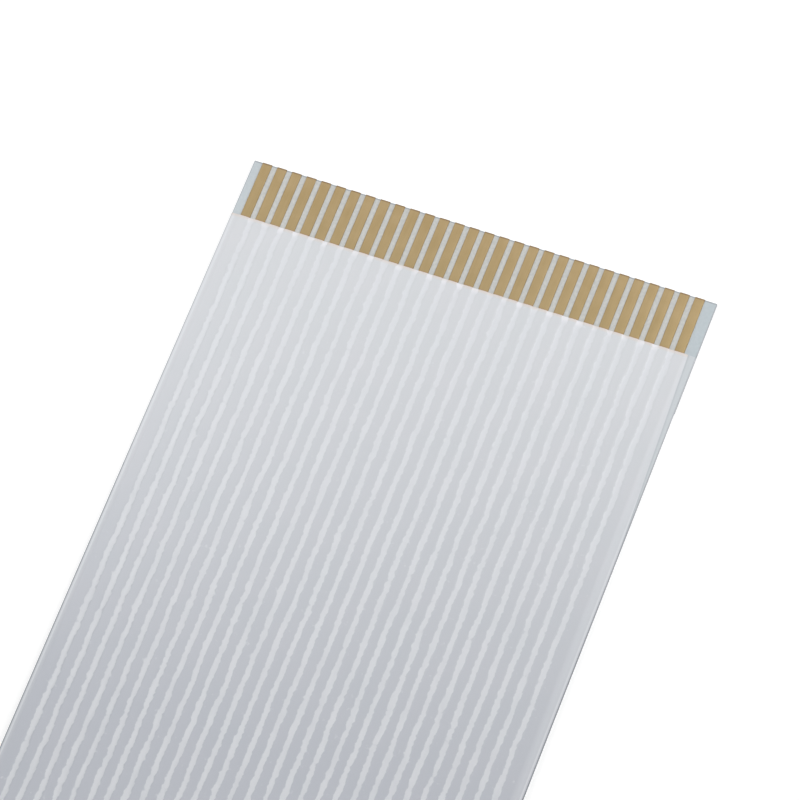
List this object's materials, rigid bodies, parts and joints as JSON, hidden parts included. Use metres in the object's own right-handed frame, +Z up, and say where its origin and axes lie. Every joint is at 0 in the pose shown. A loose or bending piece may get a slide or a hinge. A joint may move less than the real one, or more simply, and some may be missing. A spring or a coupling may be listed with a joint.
{
  "type": "flat flexible cable",
  "caption": "Flat flexible cable: flat copper conductors sealed between two white polyester films, with bare gold contacts on top and a stiffener underneath at both ends.",
  "frame": {"origin": "middle of the cable's length and width, on the surface it lies on (the stiffeners' undersides)", "axes": "+Y along the cable towards the rear end, +X across it, +Z up out of the contact side; the row of conductors lies 0.12 mm towards -X"},
  "size_m": [0.031, 0.1, 0.0004],
  "materials": {
    "film": "satin white polyester film",
    "conductor": "flat rolled copper, matt gold plated at the bare ends",
    "stiffener": "satin pale blue-grey polyester tape"
  },
  "bodies": {
    "root": {"stiffener_front": "stiffener", "stiffener_rear": "stiffener", "lower_film": "film", "upper_film": "film", "conductor_01": "conductor", "conductor_02": "conductor", "conductor_03": "conductor", "conductor_04": "conductor", "conductor_05": "conductor", "conductor_06": "conductor", "conductor_07": "conductor", "conductor_08": "conductor", "conductor_09": "conductor", "conductor_10": "conductor", "conductor_11": "conductor", "conductor_12": "conductor", "conductor_13": "conductor", "conductor_14": "conductor", "conductor_15": "conductor", "conductor_16": "conductor", "conductor_17": "conductor", "conductor_18": "conductor", "conductor_19": "conductor", "conductor_20": "conductor", "conductor_21": "conductor", "conductor_22": "conductor", "conductor_23": "conductor", "conductor_24": "conductor", "conductor_25": "conductor", "conductor_26": "conductor", "conductor_27": "conductor", "conductor_28": "conductor", "conductor_29": "conductor", "conductor_30": "conductor"}
  },
  "joints": []
}
